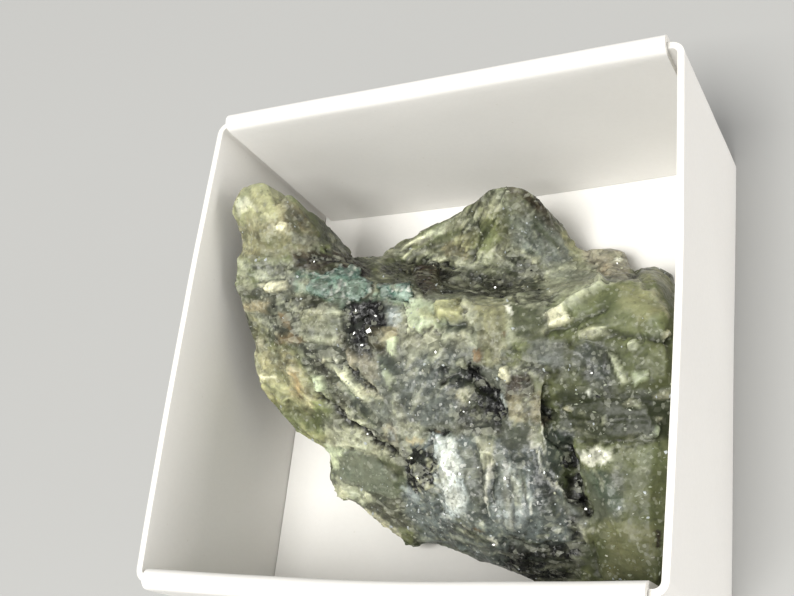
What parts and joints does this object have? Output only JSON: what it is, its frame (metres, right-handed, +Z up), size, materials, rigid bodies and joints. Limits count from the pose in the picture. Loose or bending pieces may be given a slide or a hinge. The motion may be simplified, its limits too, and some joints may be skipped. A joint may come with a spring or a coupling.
{
  "type": "emerald in matrix specimen in a card tray",
  "caption": "Rough grey-green schist and beryl stone with granular teal emerald in its crest, resting in an open square white folded card specimen tray.",
  "frame": {"origin": "middle of the tray's underside", "axes": "+Z up out of the open tray, +Y to the back wall that is rolled over and tallest, +X to the right-hand single-ply wall as seen from the front"},
  "size_m": [0.041, 0.0408, 0.0182],
  "materials": {
    "card": "white matte card with raw cut edges",
    "matrix_rock": "rough broken grey-green rock with silvery and black mica and waxy olive crystal",
    "emerald": "granular translucent pale teal crystal"
  },
  "bodies": {
    "root": {"specimen_box": "card", "matrix": "matrix_rock", "emerald_left": "emerald", "emerald_right": "emerald"}
  },
  "joints": []
}
